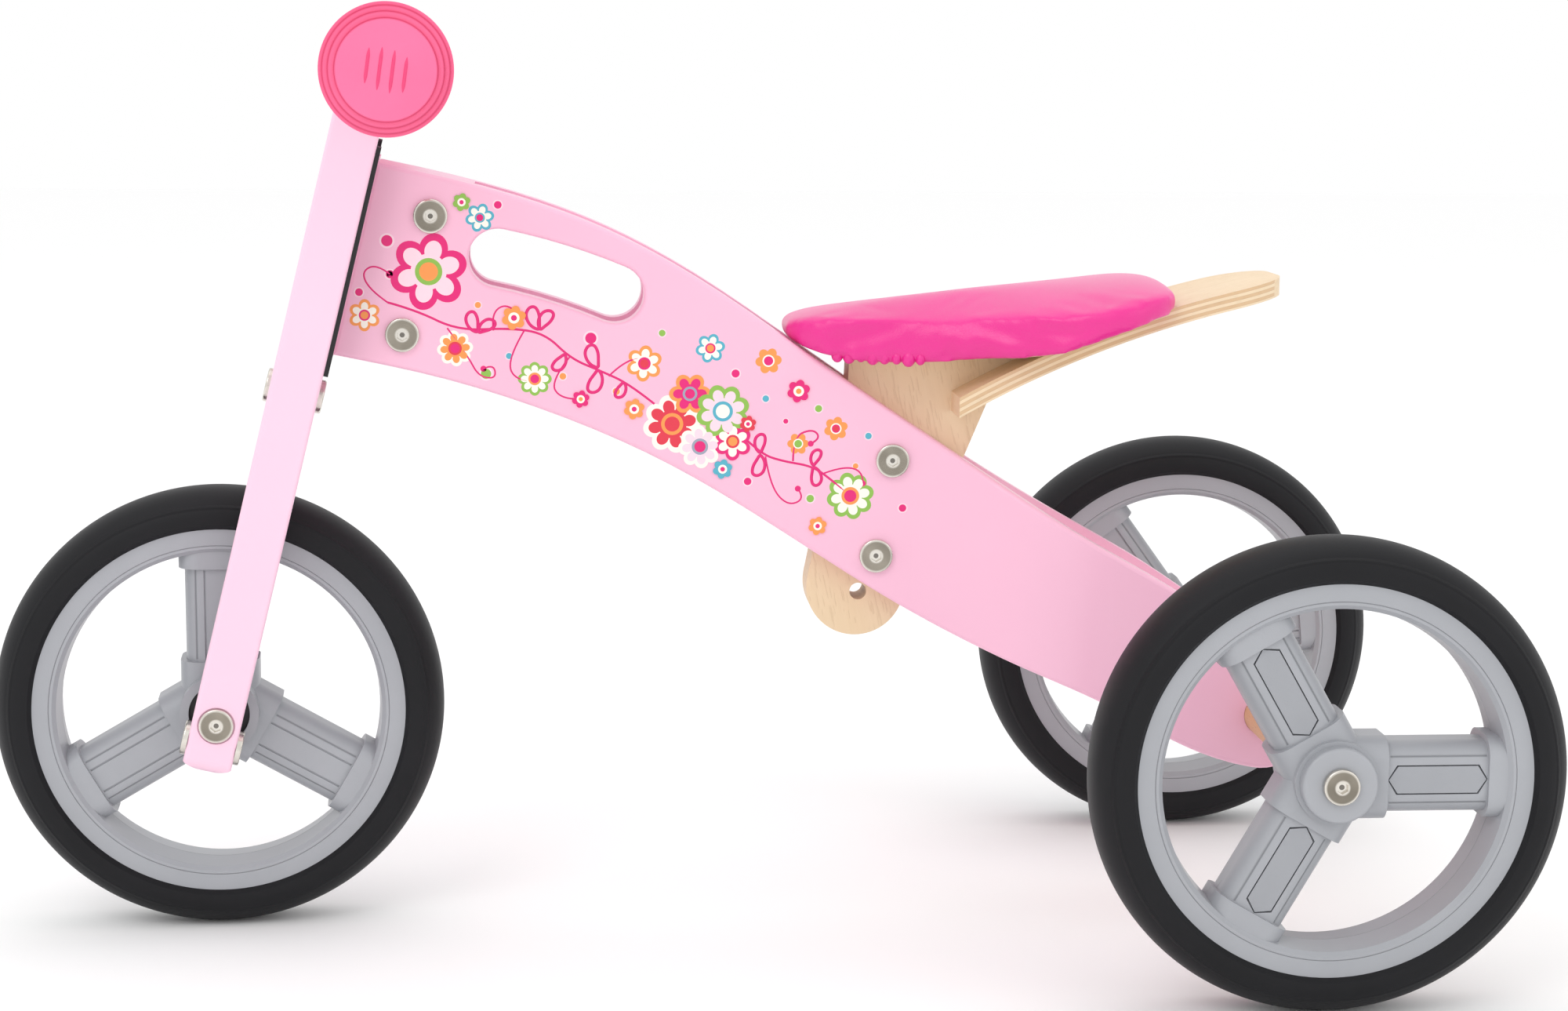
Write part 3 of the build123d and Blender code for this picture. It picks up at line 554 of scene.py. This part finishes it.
def plywood(name, depth, on_edge, lie, stretch):
    """Face veneer, and thin plies in the edges, given the depth through the plies in metres."""
    ply = Finish(name, tone(226, 196, 156), 0.5, coat=0.1, coat_roughness=0.4)
    fine = ply.noise(ply.place(rotation=lie, scale=stretch), 520.0, 6.0, 0.65)
    broad = ply.noise(ply.place(rotation=lie, scale=stretch), 46.0, 3.0)
    pores = ply.noise(ply.place(rotation=lie, scale=stretch), 1500.0, 1.0).over(0.64)
    face = ply.mix(broad, tone(243, 222, 190), tone(231, 204, 166))
    face = ply.mix(fine * 0.3, face, tone(212, 178, 136))
    face = ply.mix(pores * 0.16, face, tone(180, 140, 98))
    layer = depth(ply) / ply_thickness
    position = layer.sum("FRACT", layer * 0.5)
    dark = position.over(0.5)
    glue = abs(layer.sum("FRACT", layer) - 0.5).over(0.45)
    edge = ply.mix(dark, tone(242, 220, 187), tone(222, 188, 148))
    edge = ply.mix(glue * 0.35, edge, tone(176, 132, 92))
    edge = ply.mix(fine * 0.2, edge, tone(204, 164, 120))
    seen = on_edge(ply)
    ply.give("Base Color", ply.mix(seen, face, edge))
    ply.give("Roughness", 0.42 + 0.2 * fine)
    ply.bump(0.6 * fine + 0.4 * pores, 0.00012)
    return ply


def facing(finish, name):
    """How squarely the surface faces along one axis, 0 to 1."""
    normal = finish.node("ShaderNodeNewGeometry", output="Normal")
    return abs(finish.axis(normal, name))


post_ply = plywood(
    "post_birch",
    lambda ply: ply.axis(ply.place(), "Y"),
    lambda ply: 1.0 - facing(ply, "Y").over(0.6),
    (0, math.radians(-12), 0), (1, 1, 14),
)
put_on(post_ply, "seat_post")

# Three points on the bent tail, in X and Z.
tail_points = ((0.0845, 0.2117), (0.146, 0.2398), (0.216, 0.2588))


def circle_through(a, b, c):
    """Centre of the circle through three points, in X and Z."""
    d = 2 * (a[0] * (b[1] - c[1]) + b[0] * (c[1] - a[1]) + c[0] * (a[1] - b[1]))
    squares = [p[0] ** 2 + p[1] ** 2 for p in (a, b, c)]
    x = (squares[0] * (b[1] - c[1]) + squares[1] * (c[1] - a[1]) + squares[2] * (a[1] - b[1])) / d
    z = (squares[0] * (c[0] - b[0]) + squares[1] * (a[0] - c[0]) + squares[2] * (b[0] - a[0])) / d
    return x, z


bend = circle_through(*tail_points)


def tail_depth(ply):
    """Distance from the centre of the tail's bend."""
    where = ply.place((bend[0], 0, bend[1]))
    return distance(ply.axis(where, "X"), ply.axis(where, "Z"))


tail_ply = plywood(
    "tail_birch", tail_depth,
    lambda ply: facing(ply, "Y").over(0.6),
    (0, math.radians(-22), 0), (14, 1, 1),
)
put_on(tail_ply, "tail_strip", "saddle_base")

# ---- saddle ---------------------------------------------------------------------------
# A foam pad under glossy hot pink vinyl.  The cover is drawn tight over the pad, folded under
# the board and gathered there in small pleats, which pucker the lower edge a little.
vinyl = Finish("hot_pink_vinyl", tone(232, 30, 142), 0.3, coat=0.3, coat_roughness=0.22)
grain = vinyl.node("ShaderNodeTexVoronoi", {"feature": "DISTANCE_TO_EDGE"},
                   {"Vector": vinyl.place(), "Scale": 1300.0})
shade = vinyl.noise(vinyl.place(), 30.0, 3.0)
vinyl.give("Base Color", vinyl.mix(shade, tone(224, 22, 134), tone(238, 40, 150)))
vinyl.give("Roughness", 0.26 + 0.1 * shade)
vinyl.bump(grain * 2.0, 0.00006)

pad_voxel = 0.0025
pad_shrink = 0.995
pad_cap = 0.006                 # the air pressure moves the cover no further than this
pad_underside = -0.75           # faces that look down more than this are stapled to the board
foot_lift = 0.001
foot_climb = 0.018
climb_start = 0.3
dome_height = 0.02


def swap_mesh(piece):
    """Bake a piece's modifiers into its mesh."""
    graph = bpy.context.evaluated_depsgraph_get()
    mesh = bpy.data.meshes.new_from_object(piece.evaluated_get(graph))
    piece.modifiers.clear()
    piece.data = mesh


cushion_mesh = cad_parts["saddle_cushion"].data.copy()
cushion_mesh.materials.clear()
cushion_mesh.materials.append(vinyl.material)
cushion = bpy.data.objects.new("saddle_cover", cushion_mesh)
scene.collection.objects.link(cushion)
pad = bmesh.new()
pad.from_mesh(cushion_mesh)
bmesh.ops.remove_doubles(pad, verts=pad.verts, dist=0.00002)
pad_low, pad_high = (Vector(c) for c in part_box("saddle_cushion"))
middle = (pad_low + pad_high) / 2
smaller = Matrix.Diagonal((pad_shrink, pad_shrink, pad_shrink, 1))
shrink = Matrix.Translation(middle) @ smaller @ Matrix.Translation(-middle)
bmesh.ops.transform(pad, matrix=shrink, verts=pad.verts)
pad.to_mesh(cushion_mesh)
pad.free()
remesh = cushion.modifiers.new("Remesh", "REMESH")
remesh.mode = "VOXEL"
remesh.voxel_size = pad_voxel
swap_mesh(cushion)


def soften(mesh, rounds, kept):
    """Even out a mesh, except where a vertex is kept."""
    work = bmesh.new()
    work.from_mesh(mesh)
    work.verts.ensure_lookup_table()
    free = [v for v in work.verts if v.index not in kept]
    for _ in range(rounds):
        bmesh.ops.smooth_vert(work, verts=free, factor=0.5,
                              use_axis_x=True, use_axis_y=True, use_axis_z=True)
    work.to_mesh(mesh)
    work.free()


under = {v.index for v in cushion.data.vertices if v.normal.z < pad_underside}


def pad_foot(x):
    """Height of the pad's lower edge, which climbs towards the back."""
    along = (x - pad_low.x) / (pad_high.x - pad_low.x)
    return pad_low.z + foot_lift + foot_climb * max(0.0, along - climb_start)


# The foam is domed from side to side: its top falls away towards both edges.
pad_fall = 0.0055
pad_half_width = 0.057
for vertex in cushion.data.vertices:
    if vertex.index not in under:
        height = min(max((vertex.co.z - pad_foot(vertex.co.x)) / dome_height, 0.0), 1.0)
        vertex.co.z -= pad_fall * height * (vertex.co.y / pad_half_width) ** 2
soften(cushion.data, 4, under)
start = [v.co.copy() for v in cushion.data.vertices]
group = cushion.vertex_groups.new(name="stapled")
group.add(list(under), 1.0, "REPLACE")
cloth = cushion.modifiers.new("Cloth", "CLOTH")
cloth.settings.use_pressure = True
cloth.settings.uniform_pressure_force = 4.0
cloth.settings.effector_weights.gravity = 0.0
cloth.settings.vertex_group_mass = "stapled"
cloth.settings.tension_stiffness = 40.0
cloth.settings.compression_stiffness = 40.0
for step in range(1, 21):
    scene.frame_set(step)
swap_mesh(cushion)
for vertex, first in zip(cushion.data.vertices, start):
    move = vertex.co - first
    if move.length > pad_cap:
        vertex.co = first + move * (pad_cap / move.length)
scene.frame_set(1)
cushion.vertex_groups.clear()

# Pleats: the lower edge draws in and out as it runs round the saddle.
pleats = 46
pleat_height = 0.009
pleat_depth = 0.0007
for vertex in cushion.data.vertices:
    around = math.atan2(vertex.co.y / 0.35, vertex.co.x - middle.x)
    rise = (vertex.co.z - pad_foot(vertex.co.x)) / pleat_height
    if rise < 1 and vertex.index not in under:
        depth = pleat_depth * (1 - max(rise, 0.0)) ** 1.5
        vertex.co += vertex.normal * depth * math.sin(pleats * around + 2.0 * math.sin(3 * around))
for face in cushion.data.polygons:
    face.use_smooth = True
finer = cushion.modifiers.new("Subdivision", "SUBSURF")
finer.levels = 1
finer.render_levels = 1
swap_mesh(cushion)
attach(cushion, "frame")
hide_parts("saddle_cushion")

# Loose puckers of vinyl hang along the board's edge under the nose, where it is gathered.
puckers = bmesh.new()
pucker_step = 0.0046
pucker_start = (0.037, 0.0225, 0.2316)
for side in (-1, 1):
    for k in range(8):
        along = pucker_step * k
        x = pucker_start[0] + along
        y = side * (pucker_start[1] + 0.2 * along)
        z = pucker_start[2] - 0.03 * along
        size = 0.0030 + 0.0005 * math.sin(2.4 * k)
        place = Matrix.Translation((x, y, z))
        fold = place @ Matrix.Diagonal((0.8, 0.9, 1.0, 1))
        bmesh.ops.create_icosphere(puckers, subdivisions=3, radius=size, matrix=fold)
for face in puckers.faces:
    face.smooth = True
piece_of("saddle_puckers", puckers, vinyl, "frame")

# ---- fork -----------------------------------------------------------------------------
# One thick board, sprayed pink; it is given a paler pink than the frame as painted light, since
# it faces the lamps more.  Black rubber strips are stuck on the backs of its arms.
fork_lie = (0, math.radians(lean_degrees - 90), 0)
# The paler pink is painted light: the fork faces the lamps more than the frame's plates do.
lit_pink = sprayed("fork_pink", (249, 208, 228), (247, 203, 224), fork_lie)
put_on(lit_pink, "fork", "crown_block")
strip_rubber = Finish("strip_rubber", tone(22, 22, 24), 0.6)
strip_rubber.give("Roughness", 0.5 + 0.2 * strip_rubber.noise(strip_rubber.place(), 600.0))
strip_rubber.bump(strip_rubber.noise(strip_rubber.place(), 1500.0, 3.0), 0.00008)
put_on(strip_rubber, "bumper_strips")

# ---- grips ----------------------------------------------------------------------------
# Soft moulded rubber in strong pink, pushed on to the bar.  Each closes in a round bumper
# with stepped rings, and the middle of its end has four moulded slits that lean a little.
# The steps between the rings are painted darker as shade, and the slits are darker beads
# that stand in for the shade inside them.
bar_height = 0.2648
bar_back = 0.0063
grip_end = 0.152
slit_gap = 0.0044
slit_radius = 0.0007
slit_lean = 0.1
ring_shade_width = 0.0006
dome_radius = 0.0176
bar_centre = tuple(steering @ Vector((bar_back, 0, bar_height)))
rubber = Finish("grip_rubber", tone(250, 112, 158), 0.42, specular=0.4)
bloom = rubber.noise(rubber.place(), 45.0, 4.0)
where = rubber.place(bar_centre, tuple(axles["front_wheel"][1].to_euler("XYZ")))
radius = distance(rubber.axis(where, "X"), rubber.axis(where, "Z"))
# Thin darker rings at the steps between the grip's rings are painted shade.
ring_step_shade = 0.0
for ring in (0.0220, 0.0200, 0.0177):
    ring_step_shade = ring_step_shade + radius.within(ring, ring_shade_width)
body = rubber.mix(bloom, tone(248, 104, 150), tone(253, 122, 166))
rubber.give("Base Color", rubber.mix(ring_step_shade * 0.7, body, tone(206, 44, 96)))
rubber.give("Roughness", 0.4 + 0.14 * bloom)
rubber.bump(rubber.noise(rubber.place(), 1700.0, 2.0), 0.00006)
put_on(rubber, "grip_left", "grip_right")

# The slit beads are given a darker pink than the grip as painted shade inside the slits.
slit_shade = Finish("grip_slit", tone(232, 74, 124), 0.5, specular=0.3)
slit_shade.give("Roughness", 0.45 + 0.14 * slit_shade.noise(slit_shade.place(), 900.0))
for side, name in ((-1, "left"), (1, "right")):
    slits = bmesh.new()
    for k in (-1.5, -0.5, 0.5, 1.5):
        half = 0.0085 - 0.0014 * abs(k)
        line = bpy.data.curves.new("slit_shade", "CURVE")
        line.dimensions = "3D"
        line.bevel_depth = slit_radius
        line.bevel_resolution = 3
        line.use_fill_caps = True
        spline = line.splines.new("NURBS")
        spline.points.add(6)
        for i, point in enumerate(spline.points):
            up = half * (i / 3 - 1)
            across = slit_gap * k - slit_lean * up
            dome = 0.002 * (1 - (across ** 2 + up ** 2) / dome_radius ** 2)
            point.co = (bar_back + across, side * (grip_end + dome - 0.0003), bar_height + up, 1)
            point.radius = 0.35 if i in (0, 6) else 1.0
        spline.order_u = 3
        spline.use_endpoint_u = True
        drawn = bpy.data.objects.new("slit_shade", line)
        scene.collection.objects.link(drawn)
        mesh = bpy.data.meshes.new_from_object(drawn.evaluated_get(bpy.context.evaluated_depsgraph_get()))
        bpy.data.objects.remove(drawn)
        slits.from_mesh(mesh)
        bpy.data.meshes.remove(mesh)
    bmesh.ops.transform(slits, matrix=steering, verts=slits.verts)
    bmesh.ops.recalc_face_normals(slits, faces=slits.faces)
    for face in slits.faces:
        face.smooth = True
    piece_of(f"grip_slits_{name}", slits, slit_shade, "fork")

# ---- floor, light and camera ----------------------------------------------------------
# A plain white floor under large soft lamps.
floor_shape = bmesh.new()
bmesh.ops.create_grid(floor_shape, x_segments=2, y_segments=2, size=6.0)
floor_mesh = bpy.data.meshes.new("floor")
floor_shape.to_mesh(floor_mesh)
floor_shape.free()
floor = bpy.data.objects.new("floor", floor_mesh)
scene.collection.objects.link(floor)
paper = Finish("studio_floor", tone(254, 254, 254), 0.8)
paper.give("Roughness", 0.75 + 0.1 * paper.noise(paper.place(), 3.0))
floor_mesh.materials.append(paper.material)

world = bpy.data.worlds.new("studio")
world.use_nodes = True
background = next(n for n in world.node_tree.nodes if n.type == "BACKGROUND")
background.inputs["Color"].default_value = (1, 1, 1, 1)
background.inputs["Strength"].default_value = 1.0
scene.world = world
scene.view_settings.view_transform = "Standard"


def lamp(name, place, aim, width, height, power):
    """A soft rectangular lamp."""
    light = bpy.data.lights.new(name, "AREA")
    light.shape = "RECTANGLE"
    light.size = width
    light.size_y = height
    light.energy = power
    made = bpy.data.objects.new(name, light)
    scene.collection.objects.link(made)
    made.location = place
    made.rotation_euler = (Vector(aim) - Vector(place)).to_track_quat("-Z", "Y").to_euler()


lamp("key", (-0.9, -1.5, 1.7), (0, 0, 0.15), 1.0, 1.0, 8)
lamp("fill", (1.5, -1.2, 0.9), (0, 0, 0.15), 1.4, 1.0, 2)
lamp("top", (0.1, 0.3, 2.2), (0, 0, 0.1), 2.0, 1.6, 5)

# The camera stands off the left side, in metres and radians.
yaw = 0.0815
pitch = 0.1512
roll = -0.0076
forward = Vector((math.sin(yaw) * math.cos(pitch), math.cos(yaw) * math.cos(pitch), -math.sin(pitch)))
right = Vector((math.cos(yaw), -math.sin(yaw), 0))
down = forward.cross(right)
level_right = math.cos(roll) * right + math.sin(roll) * down
level_down = -math.sin(roll) * right + math.cos(roll) * down
lens = bpy.data.cameras.new("camera")
lens.sensor_width = 36
lens.lens = 70.2
camera = bpy.data.objects.new("camera", lens)
scene.collection.objects.link(camera)
columns = (level_right, -level_down, -forward)
turn = Matrix([[column[row] for column in columns] for row in range(3)]).to_4x4()
camera.matrix_world = Matrix.Translation((-0.0813, -1.218, 0.3544)) @ turn
scene.camera = camera
